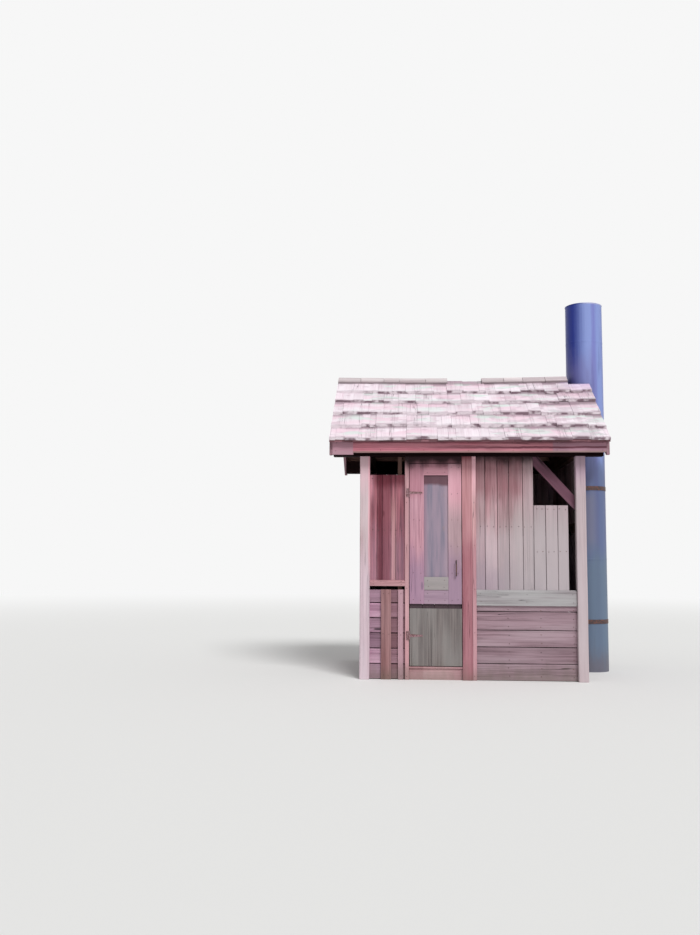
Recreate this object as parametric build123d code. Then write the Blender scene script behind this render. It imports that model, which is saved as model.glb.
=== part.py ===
from build123d import *
import os
from math import cos, hypot, radians, sqrt, tan

# A small wooden forest toilet house, in millimetres. +Z is up, the door faces -Y
# and the ridge runs along X. The origin is on the ground, under the middle floor joist.

# Frame of posts and beams
post_size = 100
frame_width = 2286
frame_depth = 2000
post_height = 2260
beam_height = 150
post_chamfer = 6

# Roof
roof_pitch = 35.3
left_overhang = 305
right_overhang = 215
eave_overhang = 150
rafter_width = 38
rafter_depth = 89
rafter_seat = 30
rafter_pairs = 4
ridge_board_depth = 140
ridge_board_width = 25
deck_thickness = 19
fascia_height = 110
fascia_thickness = 38
fascia_left_length = 213
fascia_right_length = 520
fascia_left_drop = 20
barge_depth = 140
barge_thickness = 30
barge_tail = 25
ridge_sag = 18
layer_gap = 0.3
stack_joint = 3

# Split shakes and ridge cap: how much each course shows, from the eave up
course_shares = (1.0, 1.09, 1.06, 0.91, 0.94)
shake_butt = 22
shake_bed = 26
shake_drip = 50
cap_width = 95
cap_thickness = 22
left_cap_length = 1240
right_cap_length = 955

# Board walls
board_thickness = 22
wall_recess = 50
trim_thickness = 22
band_bottom = 745
band_height = 160
girt_height = 89
girt_thickness = 38
girt_level = 1500

# Left bay of the front wall
left_bay_width = 363
left_vent_height = 189
bay_rail_bottom = 935
bay_rail_height = 61
rail_shadow_gap = 35
cover_board_start = 117
cover_board_width = 102
cover_strip_start = 290
cover_strip_width = 52
bay_stud_start = 288
bay_stud_width = 42

# Right bay of the front wall
right_vent_width = 420
right_vent_height = 500
missing_board_width = 71
brace_width = 100
brace_thickness = 40
brace_drop = 550
brace_run = 500

# Floor
joist_width = 38
joist_height = 89
joist_count = 5
floor_thickness = 25
threshold_thickness = 19
threshold_nose = 15
threshold_tread = 85

# Door opening and door
opening_width = 540
jamb_width = 38
jamb_depth = 89
hinge_trim_width = 41
strike_post_width = 100
strike_post_proud = 8
strike_strip_width = 41
header_height = 68
stop_width = 15
stop_thickness = 22
door_gap = 6
stop_gap = 6
plank_thickness = 20
door_face_thickness = 20
hinge_stile_width = 147
strike_stile_width = 135
top_rail_height = 120
middle_rail_bottom = 898
middle_rail_height = 131
lower_rail_bottom = 757
lower_rail_height = 137
kick_board_top = 712
panel_sheet_thickness = 4

# Hinges and pull
hinge_barrel_radius = 6
hinge_pin_radius = 3
hinge_running_gap = 0.3
knuckle_gap = 1
hinge_plate_thickness = 3
hinge_height = 90
hinge_plate_width = 34
hinge_strap_length = 135
hinge_strap_tip = 16
hinge_from_edge = 300
pull_level = 1120
pull_length = 150
pull_standoff = 38
pull_radius = 6
pull_from_edge = 55

# Vent stack and its straps
stack_radius = 203
stack_wall = 4
stack_height = 4100
stack_behind_ridge = 100
stack_post_gap = 6
stack_roof_gap = 20
stack_bead = 4
strap_thickness = 4
strap_height = 45
strap_clearance = 0.3
strap_flange = 60
lower_strap_level = 520
upper_strap_level = 1980

# Places worked out from the sizes above
half_width = frame_width / 2
half_depth = frame_depth / 2
inner_half_width = half_width - post_size
inner_half_depth = half_depth - post_size
beam_top = post_height + beam_height
slope = tan(radians(roof_pitch))
upright = 1 / cos(radians(roof_pitch))
eave_half = half_depth + eave_overhang
eave_level = beam_top - (eave_overhang + rafter_seat) * slope + rafter_depth * upright
roof_left = -half_width - left_overhang
roof_right = half_width + right_overhang
roof_middle = (roof_left + roof_right) / 2
roof_half_length = (roof_right - roof_left) / 2
rafter_foot = eave_half - fascia_thickness
fascia_start = roof_left + barge_thickness
fascia_end = roof_right - barge_thickness
floor_top = joist_height + floor_thickness
wall_face = half_depth - wall_recess
wall_back = wall_face - board_thickness
side_face = half_width - board_thickness
side_back = side_face - board_thickness
trim_face = wall_face + trim_thickness
bay_left = -inner_half_width
bay_right = bay_left + left_bay_width
bay_wall_top = post_height - left_vent_height
bay_skirt_top = bay_rail_bottom - rail_shadow_gap
opening_left = bay_right + jamb_width
opening_right = opening_left + opening_width
opening_top = post_height - header_height
door_left = opening_left + door_gap
door_right = opening_right - door_gap
door_bottom = floor_top + threshold_thickness + door_gap
door_top = opening_top - door_gap
door_back = trim_face - door_face_thickness - plank_thickness
strike_strip_left = opening_right + strike_post_width
strike_right = strike_strip_left + strike_strip_width
wall_joint = band_bottom + band_height / 2
right_vent_start = inner_half_width - right_vent_width
right_vent_sill = post_height - right_vent_height
stack_x = half_width + stack_post_gap + stack_radius
stack_y = stack_behind_ridge
notch_left = stack_x - stack_radius - stack_roof_gap
notch_reach = stack_radius + stack_roof_gap


def block(x0, x1, y0, y1, z0, z1):
    """A squared timber or board between two opposite corners."""
    timber = Box(x1 - x0, y1 - y0, z1 - z0)
    return Pos((x0 + x1) / 2, (y0 + y1) / 2, (z0 + z1) / 2) * timber


def front_outline(points, y0, y1):
    """A flat piece with an outline drawn in X and Z, between two depths."""
    face = Plane.XZ * make_face(Polyline(*points, close=True))
    return Pos(0, y1, 0) * extrude(face, y1 - y0)


def side_outline(points, x0, x1):
    """A flat piece with an outline drawn in Y and Z, between two widths."""
    face = Plane.YZ * make_face(Polyline(*points, close=True))
    return Pos(x0, 0, 0) * extrude(face, x1 - x0)


def mirrored(piece):
    """The same piece on the other side of the ridge line."""
    return mirror(piece, Plane.XZ)


def ridge_drop(x):
    """How far the old ridge has sunk at a place along it: most at the middle."""
    return ridge_sag * (1 - ((x - roof_middle) / roof_half_length) ** 2)


def sunk_slope(x):
    """The rise of the roof at a place along it, from the straight eave to the sunk ridge."""
    return slope - ridge_drop(x) / eave_half


def rafter_top(y, x):
    return eave_level + (eave_half - abs(y)) * sunk_slope(x)


def rafter_bottom(y, x):
    return rafter_top(y, x) - rafter_depth * upright


def deck_bottom(y, x):
    return rafter_top(y, x) + layer_gap


def deck_top(y, x):
    return deck_bottom(y, x) + deck_thickness * upright


def lowest_place(x0, x1):
    """Where between two places the roof has sunk furthest."""
    return min(max(roof_middle, x0), x1)


def along_roof(section, x0, x1):
    """A layer of the roof, whose section in Y and Z changes with the sag."""
    faces = []
    for x in (x0, (x0 + x1) / 2, x1):
        face = Plane.YZ * make_face(Polyline(*section(x), close=True))
        faces.append(Pos(x, 0, 0) * face)
    return loft(faces)


def save(name, *solids):
    shape = solids[0] if len(solids) == 1 else Compound(children=list(solids))
    export_step(shape, os.path.join("parts", name + ".step"))


def stack_notch():
    """The room left in the roof for the vent stack."""
    beyond = roof_right + notch_reach
    reach = notch_reach
    return block(notch_left, beyond, stack_y - reach, stack_y + reach, beam_top, stack_height)


def round_stack(layer):
    """A layer in two pieces: the field up to the notch, and the strip below the stack."""
    far = 2 * eave_half
    joint = block(notch_left, notch_left + stack_joint, -far, far, beam_height, stack_height)
    return (layer - stack_notch() - joint).solids()


# Posts
def corner_post(x_sign, y_sign):
    post = block(0, post_size, 0, post_size, 0, post_height)
    post = chamfer(post.edges().filter_by(Axis.Z), post_chamfer)
    x = half_width - post_size if x_sign > 0 else -half_width
    y = half_depth - post_size if y_sign > 0 else -half_depth
    return Pos(x, y, 0) * post


# Beams and end plates
def eave_beam():
    """A beam along the front, on the posts, reaching under the whole roof."""
    return block(fascia_start, fascia_end, -half_depth, -inner_half_depth, post_height, beam_top)


def end_plate(side):
    outer = side * half_width
    inner = side * inner_half_width
    low, high = min(outer, inner), max(outer, inner)
    return block(low, high, -inner_half_depth, inner_half_depth, post_height, beam_top)


# Floor
def floor_joists():
    """Joists from front to back, the end ones beside the posts."""
    step = (2 * inner_half_width - joist_width) / (joist_count - 1)
    joists = []
    for index in range(joist_count):
        x = -inner_half_width + index * step
        joists.append(block(x, x + joist_width, -wall_back, wall_back, 0, joist_height))
    return joists


def floor_boards():
    deck = block(-side_back, side_back, -wall_back, wall_back, joist_height, floor_top)
    for x_sign in (-1, 1):
        for y_sign in (-1, 1):
            x = x_sign * (half_width - post_size / 2)
            y = y_sign * (half_depth - post_size / 2)
            deck -= Pos(x, y, floor_top) * Box(post_size, post_size, floor_top)
    return deck


def threshold():
    """The step board under the door, with its riser down to the ground."""
    nose = -wall_face - threshold_nose
    back = nose + threshold_tread
    top = floor_top + threshold_thickness
    outline = [(nose, floor_top), (nose, top), (back, top), (back, floor_top)]
    outline += [(-wall_back, floor_top), (-wall_back, 0), (-wall_face, 0), (-wall_face, floor_top)]
    return side_outline(outline, opening_left, opening_right)


# Left bay of the front wall
def left_bay_wall():
    return block(bay_left, bay_right, -wall_face, -wall_back, bay_rail_bottom, bay_wall_top)


def left_bay_skirt():
    return block(bay_left, bay_right, -wall_face, -wall_back, 0, bay_skirt_top)


def left_bay_rail():
    right = opening_left - hinge_trim_width
    top = bay_rail_bottom + bay_rail_height
    lip = bay_rail_height / 4
    outline = [(-wall_face, bay_rail_bottom), (-wall_face, top), (-trim_face, top - lip)]
    outline += [(-trim_face, bay_rail_bottom)]
    return side_outline(outline, bay_left, right)


def bay_cover_boards():
    boards = []
    pairs = ((cover_board_start, cover_board_width), (cover_strip_start, cover_strip_width))
    for start, width in pairs:
        left = bay_left + start
        boards.append(block(left, left + width, -trim_face, -wall_face, 0, bay_skirt_top))
    return boards


def bay_stud():
    left = bay_left + bay_stud_start
    back = -wall_back + girt_thickness
    return block(left, left + bay_stud_width, -wall_back, back, floor_top, post_height)


# Door frame
def hinge_jamb():
    left = opening_left - jamb_width
    return block(left, opening_left, -wall_face, -wall_face + jamb_depth, floor_top, post_height)


def door_trims():
    left = opening_left - hinge_trim_width
    hinge_side = block(left, opening_left, -trim_face, -wall_face, 0, post_height)
    right = strike_strip_left + strike_strip_width
    strike_side = block(strike_strip_left, right, -trim_face, -wall_face, 0, post_height)
    return hinge_side, strike_side


def strike_post():
    """The heavy post the door closes on, notched over the edge of the floor."""
    front = -trim_face - strike_post_proud
    back = -wall_face + jamb_depth
    outline = [(front, 0), (front, post_height), (back, post_height)]
    outline += [(back, floor_top), (-wall_back, floor_top), (-wall_back, 0)]
    return side_outline(outline, opening_right, strike_strip_left)


def door_header():
    return block(opening_left, opening_right, -trim_face, -wall_back, opening_top, post_height)


def door_stops():
    front = -door_back + stop_gap
    back = front + stop_thickness
    low = floor_top + threshold_thickness
    left = block(opening_left, opening_left + stop_width, front, back, low, opening_top)
    right = block(opening_right - stop_width, opening_right, front, back, low, opening_top)
    return left, right


# Right bay of the front wall
def right_bay_wall():
    """Boards with a low place for the vent, and the last board missing."""
    edge = inner_half_width - missing_board_width
    outline = [(strike_strip_left, wall_joint), (strike_strip_left, post_height)]
    outline += [(right_vent_start, post_height), (right_vent_start, right_vent_sill)]
    outline += [(edge, right_vent_sill), (edge, wall_joint)]
    return front_outline(outline, -wall_face, -wall_back)


def right_bay_skirt():
    return block(strike_strip_left, inner_half_width, -wall_face, -wall_back, 0, wall_joint)


def knee_brace():
    """A short brace from the right front post up to the beam, behind the vent."""
    foot = post_height - brace_drop
    head = inner_half_width - brace_run
    length = hypot(brace_run, brace_drop)
    outline = [(inner_half_width, foot), (head, post_height)]
    outline += [(head + brace_width * length / brace_drop, post_height)]
    outline += [(inner_half_width, foot + brace_width * length / brace_run)]
    return front_outline(outline, -wall_back, -wall_back + brace_thickness)


# Side and rear walls
def side_wall(side):
    outer, inner = side * side_face, side * side_back
    low, high = min(outer, inner), max(outer, inner)
    return block(low, high, -inner_half_depth, inner_half_depth, wall_joint, post_height)


def side_skirt(side):
    outer, inner = side * side_face, side * side_back
    low, high = min(outer, inner), max(outer, inner)
    return block(low, high, -inner_half_depth, inner_half_depth, 0, wall_joint)


def rear_wall():
    return block(-inner_half_width, inner_half_width, wall_back, wall_face, wall_joint, post_height)


def rear_skirt():
    return block(-inner_half_width, inner_half_width, wall_back, wall_face, 0, wall_joint)


def band_section(inner, outer):
    """A band board with a sloping top edge that sheds rain."""
    top = band_bottom + band_height
    drop = (outer - inner) * slope
    return [(inner, band_bottom), (inner, top), (outer, top - abs(drop)), (outer, band_bottom)]


def front_band():
    section = band_section(-wall_face, -trim_face)
    return side_outline(section, strike_right, inner_half_width)


def rear_band():
    section = band_section(wall_face, trim_face)
    return side_outline(section, -inner_half_width, inner_half_width)


def side_band(side):
    outer = side * (side_face + trim_thickness)
    section = band_section(side * side_face, outer)
    return front_outline(section, -inner_half_depth, inner_half_depth)


def wall_girts():
    top = girt_level + girt_height
    reach = side_back - girt_thickness
    girts = [block(-side_back, -reach, -inner_half_depth, inner_half_depth, girt_level, top)]
    girts.append(block(reach, side_back, -inner_half_depth, inner_half_depth, girt_level, top))
    depth = wall_back - girt_thickness
    girts.append(block(-inner_half_width, inner_half_width, depth, wall_back, girt_level, top))
    return girts


# Gables
def gable(side):
    outer, inner = side * side_face, side * side_back
    low, high = min(outer, inner), max(outer, inner)
    edge = inner_half_depth
    x = lowest_place(low, high)
    outline = [(-edge, beam_top), (-edge, rafter_top(edge, x)), (0, rafter_top(0, x))]
    outline += [(edge, rafter_top(edge, x)), (edge, beam_top)]
    return side_outline(outline, low, high)


# Rafters and ridge board
def ridge_section(x):
    half = ridge_board_width / 2
    top = rafter_top(half, x)
    low = top - ridge_board_depth
    return [(-half, low), (-half, top), (half, top), (half, low)]


def rafter_outline(x):
    """A rafter with a plumb cut at each end and a notch over the beam."""
    ridge = ridge_board_width / 2
    foot = rafter_foot
    seat = eave_half - (eave_overhang + rafter_seat) * slope / sunk_slope(x)
    outline = [(-ridge, rafter_bottom(ridge, x)), (-ridge, rafter_top(ridge, x))]
    outline += [(-foot, rafter_top(foot, x)), (-foot, rafter_bottom(foot, x))]
    outline += [(-half_depth, rafter_bottom(half_depth, x)), (-half_depth, beam_top)]
    outline += [(-seat, beam_top)]
    return outline


def rafters():
    first = -side_back
    step = (2 * side_back - rafter_width) / (rafter_pairs - 1)
    pieces = []
    for index in range(rafter_pairs):
        x = first + index * step
        outline = rafter_outline(lowest_place(x, x + rafter_width))
        rafter = side_outline(outline, x, x + rafter_width)
        pieces += [rafter, mirrored(rafter)]
    return pieces


# Fascias and barge boards
def fascia(x0, x1, drop=0):
    """A board across the rafter feet, bevelled under the deck."""
    top_in = rafter_top(rafter_foot, roof_middle)
    low = eave_level - fascia_height - drop
    outline = [(-eave_half, low), (-eave_half, eave_level), (-rafter_foot, top_in)]
    outline += [(-rafter_foot, low)]
    return side_outline(outline, x0, x1)


def spliced_fascia():
    """Three boards end to end, the left one a little deeper."""
    left_joint = fascia_start + fascia_left_length
    right_joint = fascia_end - fascia_right_length
    left = fascia(fascia_start, left_joint, fascia_left_drop)
    middle = fascia(left_joint, right_joint)
    return left, middle, fascia(right_joint, fascia_end)


def barge_board(x0):
    """A board up the rake, cut plumb at the eave and level just below the fascia."""
    x = lowest_place(x0, x0 + barge_thickness)
    depth = barge_depth * upright
    foot = eave_level - fascia_height - barge_tail
    knee = eave_half - (foot + depth - eave_level) / sunk_slope(x)
    outline = [(0, rafter_top(0, x) - depth), (0, rafter_top(0, x))]
    outline += [(-eave_half, eave_level), (-eave_half, foot), (-knee, foot)]
    return side_outline(outline, x0, x0 + barge_thickness)


# Deck boards, shakes and ridge cap
def deck_section(x):
    ridge = layer_gap / 2
    section = [(-ridge, deck_bottom(ridge, x)), (-ridge, deck_top(ridge, x))]
    section += [(-eave_half, deck_top(eave_half, x)), (-eave_half, deck_bottom(eave_half, x))]
    return section


def course_foot(course, x):
    """How far up the slope a course starts. The courses end at the ridge cap."""
    length = (eave_half + shake_drip) * sqrt(1 + sunk_slope(x) ** 2)
    share = sum(course_shares[:course]) / sum(course_shares)
    return (length - cap_width) * share


def over_deck(along, height, x):
    """A point in Y and Z, at a length up the slope from the drip edge and a height over it."""
    rise = sunk_slope(x)
    run = 1 / sqrt(1 + rise ** 2)
    y = -eave_half - shake_drip + (along - height * rise) * run
    z = deck_top(eave_half, x) - shake_drip * rise + (along * rise + height) * run
    return y, z


def ridge_point(height, x):
    """Where a layer of this height meets its mirror over the ridge."""
    return -layer_gap / 2, deck_top(0, x) + height * sqrt(1 + sunk_slope(x) ** 2)


def shake_section(x):
    """Courses of shakes: each has a thick butt and thins out up the slope."""
    section = [over_deck(0, layer_gap, x)]
    for course in range(len(course_shares)):
        section.append(over_deck(course_foot(course, x), shake_bed + shake_butt, x))
        section.append(over_deck(course_foot(course + 1, x), shake_bed, x))
    section.append(ridge_point(shake_bed, x))
    section.append(ridge_point(layer_gap, x))
    return section


def cap_section(x):
    """Two cap boards leaning together over the last course."""
    start = course_foot(len(course_shares), x)
    bottom = shake_bed + layer_gap
    top = bottom + cap_thickness
    low = over_deck(start, bottom, x)
    high = over_deck(start, top, x)
    peak = (0, ridge_point(top, x)[1])
    inside = (0, ridge_point(bottom, x)[1])
    return [low, high, peak, (-high[0], high[1]), (-low[0], low[1]), inside]


def ridge_caps():
    """Two lengths of cap: the one between them has gone, and the stack ends the last."""
    left = along_roof(cap_section, roof_left, roof_left + left_cap_length)
    right = along_roof(cap_section, notch_left - right_cap_length, notch_left)
    return left, right


# Vent stack
def vent_stack():
    """A tall pipe, open at the top with a rolled bead."""
    inner = stack_radius - stack_wall
    tube = Cylinder(stack_radius, stack_height) - Cylinder(inner, stack_height)
    bead = Torus(stack_radius, stack_bead)
    tube += Pos(0, 0, stack_height / 2 - stack_bead) * bead
    tube -= Cylinder(inner, stack_height)
    return Pos(stack_x, stack_y, stack_height / 2) * tube


def stack_strap(level):
    """A band round the stack, with legs back to the wall and flanges on it."""
    inner = stack_radius + strap_clearance
    outer = inner + strap_thickness
    wall = side_face - stack_x
    band = Circle(outer) + Pos(wall / 2, 0) * Rectangle(-wall, 2 * outer)
    band += Pos(wall + strap_thickness / 2, 0) * Rectangle(strap_thickness, 2 * (outer + strap_flange))
    band -= Circle(inner) + Pos(wall / 2, 0) * Rectangle(-wall, 2 * inner)
    return Pos(stack_x, stack_y, level) * extrude(band, strap_height)


# Door
def door_planks():
    return block(door_left, door_right, -door_back - plank_thickness, -door_back, door_bottom, door_top)


def door_face(x0, x1, z0, z1):
    return block(x0, x1, -trim_face, -trim_face + door_face_thickness, z0, z1)


panel_left = door_left + hinge_stile_width
panel_right = door_right - strike_stile_width
panel_top = door_top - top_rail_height
panel_bottom = middle_rail_bottom + middle_rail_height


def door_stiles():
    hinge_side = door_face(door_left, panel_left, lower_rail_bottom, door_top)
    strike_side = door_face(panel_right, door_right, lower_rail_bottom, door_top)
    return hinge_side, strike_side


def door_rails():
    lower_top = lower_rail_bottom + lower_rail_height
    top = door_face(panel_left, panel_right, panel_top, door_top)
    middle = door_face(panel_left, panel_right, middle_rail_bottom, panel_bottom)
    lower = door_face(panel_left, panel_right, lower_rail_bottom, lower_top)
    return top, middle, lower


def door_panel():
    back = -trim_face + door_face_thickness
    return block(panel_left, panel_right, back - panel_sheet_thickness, back, panel_bottom, panel_top)


def door_kick_board():
    return door_face(door_left, door_right, door_bottom, kick_board_top)


# Hinges
hinge_x = opening_left + door_gap / 2
hinge_y = -trim_face - hinge_barrel_radius
hinge_levels = (door_bottom + hinge_from_edge, door_top - hinge_from_edge)


def knuckle(z0, z1):
    ring = Cylinder(hinge_barrel_radius, z1 - z0)
    return Pos(hinge_x, hinge_y, (z0 + z1) / 2) * ring


def hinge_plate(level):
    """The fixed leaf, its two end knuckles and the pin."""
    third = hinge_height / 3
    low = level - hinge_height / 2
    front = -trim_face - hinge_plate_thickness
    plate = block(hinge_x - hinge_plate_width, hinge_x, front, -trim_face, low, low + hinge_height)
    room_low = low + third - knuckle_gap
    room_high = low + 2 * third + knuckle_gap
    room_left = hinge_x - hinge_barrel_radius - knuckle_gap
    plate -= block(room_left, hinge_x, front, -trim_face, room_low, room_high)
    plate += knuckle(low, room_low)
    plate += knuckle(room_high, low + hinge_height)
    pin = Cylinder(hinge_pin_radius, hinge_height)
    plate += Pos(hinge_x, hinge_y, level) * pin
    return plate


def hinge_strap(level):
    """The tapered strap on the door, with the middle knuckle."""
    third = hinge_height / 3
    half = third / 2
    tip = hinge_strap_tip / 2
    end = hinge_x + hinge_strap_length
    outline = [(hinge_x, level - half), (hinge_x, level + half)]
    outline += [(end, level + tip), (end, level - tip)]
    front = -trim_face - hinge_plate_thickness
    strap = front_outline(outline, front, -trim_face)
    strap += knuckle(level - half, level + half)
    bore = Cylinder(hinge_pin_radius + hinge_running_gap, hinge_height)
    strap -= Pos(hinge_x, hinge_y, level) * bore
    return strap


def door_pull():
    """A bent rod pull on the strike side of the door."""
    x = door_right - pull_from_edge
    half = pull_length / 2
    out = -trim_face - pull_standoff
    points = [(x, -trim_face, pull_level - half), (x, out, pull_level - half)]
    points += [(x, out, pull_level + half), (x, -trim_face, pull_level + half)]
    path = FilletPolyline(*points, radius=2 * pull_radius)
    section = Plane(points[0], z_dir=(0, -1, 0)) * Circle(pull_radius)
    return sweep(section, path=path)


def build():
    os.makedirs("parts", exist_ok=True)
    posts = [corner_post(x, y) for x in (-1, 1) for y in (-1, 1)]
    save("corner_posts", *posts)
    save("front_beam", eave_beam())
    save("rear_beam", mirrored(eave_beam()))
    save("end_plates", end_plate(-1), end_plate(1))
    save("floor_joists", *floor_joists())
    save("floor_boards", floor_boards())
    save("threshold", threshold())

    save("front_wall_left", left_bay_wall())
    save("front_skirt_left", left_bay_skirt())
    save("front_rail_left", left_bay_rail())
    save("bay_cover_boards", *bay_cover_boards())
    save("bay_stud", bay_stud())
    save("hinge_jamb", hinge_jamb())
    save("door_trims", *door_trims())
    save("strike_post", strike_post())
    save("door_header", door_header())
    save("door_stops", *door_stops())
    save("front_wall_right", right_bay_wall())
    save("front_skirt_right", right_bay_skirt())
    save("knee_brace", knee_brace())

    save("left_wall", side_wall(-1))
    save("right_wall", side_wall(1))
    save("rear_wall", rear_wall())
    save("left_skirt", side_skirt(-1))
    save("right_skirt", side_skirt(1))
    save("rear_skirt", rear_skirt())
    save("wall_bands", front_band(), rear_band(), side_band(-1), side_band(1))
    save("wall_girts", *wall_girts())
    save("left_gable", gable(-1))
    save("right_gable", gable(1))

    save("ridge_board", along_roof(ridge_section, -side_back, side_back))
    save("rafters", *rafters())
    save("front_fascia", *spliced_fascia())
    save("rear_fascia", mirrored(fascia(fascia_start, fascia_end)))
    notch = stack_notch()
    right_barge = barge_board(roof_right - barge_thickness)
    left_barge = barge_board(roof_left)
    save("front_barge_boards", left_barge, right_barge - notch)
    save("rear_barge_boards", mirrored(left_barge), mirrored(right_barge) - notch)
    deck = along_roof(deck_section, roof_left, roof_right)
    save("front_deck", *round_stack(deck))
    save("rear_deck", *round_stack(mirrored(deck)))
    shakes = along_roof(shake_section, roof_left, roof_right)
    save("front_shakes", *round_stack(shakes))
    save("rear_shakes", *round_stack(mirrored(shakes)))
    save("ridge_cap", *ridge_caps())

    save("vent_stack", vent_stack())
    save("stack_straps", stack_strap(lower_strap_level), stack_strap(upper_strap_level))

    save("door_planks", door_planks())
    save("door_stiles", *door_stiles())
    save("door_rails", *door_rails())
    save("door_panel", door_panel())
    save("door_kick_board", door_kick_board())
    save("hinge_plates", *[hinge_plate(level) for level in hinge_levels])
    save("hinge_straps", *[hinge_strap(level) for level in hinge_levels])
    save("door_pull", door_pull())


build()
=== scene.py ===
from itertools import count
from math import ceil, cos, pi, radians, sin, sqrt, tan
from random import Random
from types import SimpleNamespace

import bmesh
import bpy
from mathutils import Euler, Matrix, Vector, noise


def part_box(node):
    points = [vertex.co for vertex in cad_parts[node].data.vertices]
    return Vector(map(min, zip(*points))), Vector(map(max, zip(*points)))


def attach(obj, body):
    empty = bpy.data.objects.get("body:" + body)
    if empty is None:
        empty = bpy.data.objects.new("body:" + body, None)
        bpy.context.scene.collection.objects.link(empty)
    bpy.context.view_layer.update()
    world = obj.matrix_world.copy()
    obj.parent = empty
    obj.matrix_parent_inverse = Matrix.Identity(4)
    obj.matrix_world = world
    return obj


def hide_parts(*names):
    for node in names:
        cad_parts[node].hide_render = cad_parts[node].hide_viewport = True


# A small wooden forest toilet house, in metres. +Z is up and the door faces -Y.
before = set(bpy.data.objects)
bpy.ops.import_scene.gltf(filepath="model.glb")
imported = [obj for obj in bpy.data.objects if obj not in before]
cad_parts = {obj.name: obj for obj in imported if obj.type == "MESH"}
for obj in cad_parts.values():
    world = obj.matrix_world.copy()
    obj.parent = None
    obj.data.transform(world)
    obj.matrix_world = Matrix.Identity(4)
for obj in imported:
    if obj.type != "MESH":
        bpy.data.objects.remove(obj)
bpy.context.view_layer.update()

# The unevenness of the timbers is the same on each run
noise.seed_set(7)

# Camera
camera_place = (-0.6219, -10.6683, 1.1797)
camera_turn_left = radians(3.70)
camera_tilt_up = radians(5.68)
camera_roll = radians(0.33)
camera_lens = 36.42
sensor_width = 36

# Light and floor
floor_radius = 90
floor_sides = 64
floor_fade_start = 7
floor_fade_end = 26
backdrop_white = 0.93
sky_strength = 0.46
key_strength = 2.25
key_softness = radians(24)
key_from_right = radians(24)
key_height = radians(46)

# Roof
roof_rise = tan(radians(35.3))
slope_stretch = sqrt(1 + roof_rise ** 2)
ridge_sag = 0.018
deck_thickness = 0.019
deck_board_width = 0.15
shake_drip = 0.050
shake_bed = 0.026
shake_butt = 0.022
cap_width = 0.095
cap_thickness = 0.022
cap_board_length = 0.26

# How much each course of shakes shows beside an even one, from the eave up
course_shares = (1.0, 1.09, 1.06, 0.91, 0.94)

# Boards
wall_board_width = 0.119
skirt_board_width = 0.152
floor_board_width = 0.14
plank_width = 0.13

# How long each stretch of a timber is, between the cuts that let it be uneven
timber_stretch = 0.17

# Boards of the left bay: where each starts and ends in its width, how pale it is and how far back
left_bay_boards = (
    (0.0, 0.20, 0.9, 0.0), (0.20, 0.35, 0.4, 0.006), (0.35, 0.60, 0.5, 0.0), (0.60, 0.72, 0.9, 0.002),
    (0.72, 1.0, 0.7, 0.0)
)

# Skirt boards of the left bay, from the top down in the same way
left_skirt_boards = (
    (0.0, 0.151, 0.5, 0.0), (0.151, 0.32, 0.96, 0.0), (0.32, 0.488, 0.55, 0.001), (0.488, 0.657, 0.25, 0.0),
    (0.657, 0.828, 0.9, 0.0), (0.828, 1.0, 0.55, 0.001)
)

# Vent stack
stack_wall = 0.004
stack_bead = 0.004
stack_sides = 96
stack_joint_spacing = 1.22
stack_joint_lap = 0.0012
stack_top_length = 0.2
stack_bead_steps = 8

# Nails
nail_radius = 0.0045
trim_nail_radius = 0.0035
nail_head_depth = 0.004
nail_spacing_on_trims = 0.45
nail_proud = 0.0005
strap_end_length = 0.06


class Field:
    """A socket of a node tree that plain arithmetic can be written with."""

    def __init__(self, socket):
        self.socket = socket
        self.tree = socket.id_data

    def math(self, operation, *others):
        return out(add(self.tree, "ShaderNodeMath", (self, *others), operation=operation))

    def __add__(self, other):
        return self.math("ADD", other)

    def __sub__(self, other):
        return self.math("SUBTRACT", other)

    def __mul__(self, other):
        return self.math("MULTIPLY", other)

    def __truediv__(self, other):
        return self.math("DIVIDE", other)

    def __rsub__(self, other):
        return (self * -1) + other

    __radd__ = __add__


def shade(red, green, blue):
    """A colour as it looks on a screen, from 0 to 255, for a material."""
    linear = []
    for part in (red, green, blue):
        part = part / 255
        linear.append(part / 12.92 if part <= 0.04045 else ((part + 0.055) / 1.055) ** 2.4)
    return (*linear, 1.0)


def feed(slot, value):
    """Joins a field to a slot, or sets it to a plain value, a colour as it looks on a screen."""
    if isinstance(value, Field):
        value.tree.links.new(value.socket, slot)
    else:
        slot.default_value = shade(*value) if slot.type == "RGBA" else value


def add(tree, kind, inputs=(), **settings):
    """A node with its settings made and its inputs, by name or in order, joined or set."""
    node = tree.nodes.new(kind)
    for name, value in settings.items():
        setattr(node, name, value)
    for key, value in inputs.items() if isinstance(inputs, dict) else enumerate(inputs):
        feed(node.inputs[key], value)
    return node


def out(node, key=0):
    return Field(node.outputs[key])


def tree_of(*values):
    """The tree of the first field among some values."""
    return next(value.tree for value in values if isinstance(value, Field))


def new_tree(name, kind, outputs, **inputs):
    """A node group with the named sockets of each kind, its inputs as fields, and its exit."""
    tree = bpy.data.node_groups.new(name, kind)
    for side, sockets in (("INPUT", inputs), ("OUTPUT", outputs)):
        for socket, labels in sockets.items():
            for label in labels.split():
                tree.interface.new_socket(name=label, in_out=side, socket_type="NodeSocket" + socket)
    entry = tree.nodes.new("NodeGroupInput")
    given = SimpleNamespace(**{slot.name: Field(slot) for slot in entry.outputs if slot.name})
    return tree, given, tree.nodes.new("NodeGroupOutput")


def smooth(value, low, high, start=0.0, end=1.0):
    """Runs smoothly from start to end while a value runs from low to high."""
    inputs = (value, low, high, start, end)
    return out(add(value.tree, "ShaderNodeMapRange", inputs, interpolation_type="SMOOTHSTEP"))


def parts_of(vector):
    node = add(vector.tree, "ShaderNodeSeparateXYZ", (vector,))
    return [out(node, index) for index in range(3)]


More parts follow.
